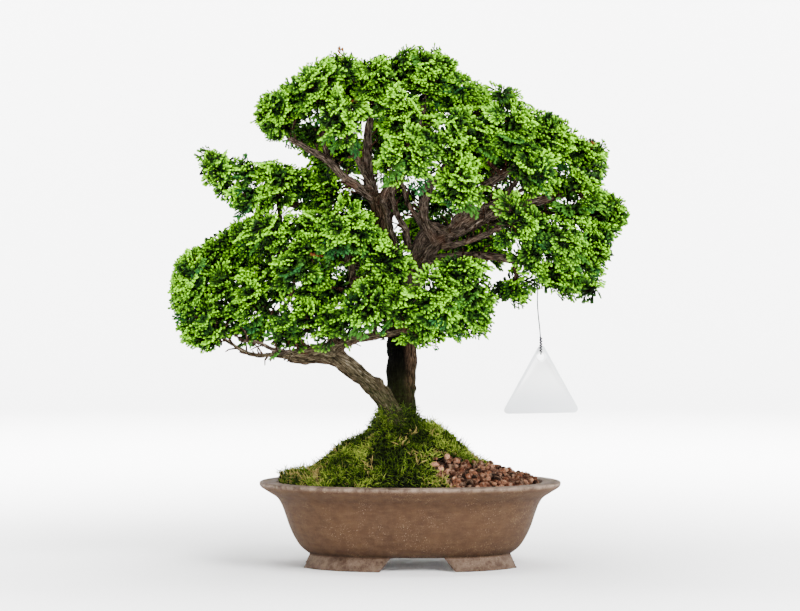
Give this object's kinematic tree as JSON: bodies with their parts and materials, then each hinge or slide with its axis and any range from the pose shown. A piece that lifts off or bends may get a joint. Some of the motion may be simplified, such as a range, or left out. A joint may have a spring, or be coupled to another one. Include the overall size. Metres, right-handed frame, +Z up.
{
  "type": "hinoki cypress bonsai",
  "caption": "Twin-trunk hinoki cypress bonsai with layered fan foliage, mossy mound and gravel in an oval stoneware pot on cut-out feet, with a blank hanging label.",
  "frame": {"origin": "on the ground below the middle of the whole object's box, level with the bottom of the pot's feet", "axes": "+Z up, +X to the right along the long side of the pot, +Y from the viewed front to the back"},
  "size_m": [0.4438, 0.2112, 0.4923],
  "materials": {
    "pot": "matte",
    "soil": "matte",
    "moss": "matte",
    "gravel": "matte",
    "bark": "matte",
    "leaf": "matte",
    "screen": "matte",
    "tag": "satin",
    "wire": "satin"
  },
  "bodies": {
    "root": {"drain_screen_left": "screen", "drain_screen_right": "screen", "foliage_back_1": "leaf", "foliage_back_2": "leaf", "foliage_back_3": "leaf", "foliage_back_4": "leaf", "foliage_back_5": "leaf", "foliage_back_6": "leaf", "foliage_back_7": "leaf", "foliage_centre_1": "leaf", "foliage_centre_2": "leaf", "foliage_centre_3": "leaf", "foliage_centre_4": "leaf", "foliage_centre_5": "leaf", "foliage_centre_6": "leaf", "foliage_crown_1": "leaf", "foliage_crown_2": "leaf", "foliage_crown_3": "leaf", "foliage_crown_4": "leaf", "foliage_crown_5": "leaf", "foliage_crown_6": "leaf", "foliage_crown_7": "leaf", "foliage_crown_8": "leaf", "foliage_crown_9": "leaf", "foliage_lower_left_1": "leaf", "foliage_lower_left_10": "leaf", "foliage_lower_left_2": "leaf", "foliage_lower_left_3": "leaf", "foliage_lower_left_4": "leaf", "foliage_lower_left_5": "leaf", "foliage_lower_left_6": "leaf", "foliage_lower_left_7": "leaf", "foliage_lower_left_8": "leaf", "foliage_lower_left_9": "leaf", "foliage_right_1": "leaf", "foliage_right_10": "leaf", "foliage_right_11": "leaf", "foliage_right_12": "leaf", "foliage_right_13": "leaf", "foliage_right_2": "leaf", "foliage_right_3": "leaf", "foliage_right_4": "leaf", "foliage_right_5": "leaf", "foliage_right_6": "leaf", "foliage_right_7": "leaf", "foliage_right_8": "leaf", "foliage_right_9": "leaf", "foliage_upper_left_1": "leaf", "foliage_upper_left_2": "leaf", "foliage_upper_left_3": "leaf", "gravel": "gravel", "moss": "moss", "pot": "pot", "soil": "soil", "tag": "tag", "tag_wire": "wire", "wood": "bark"}
  },
  "joints": []
}
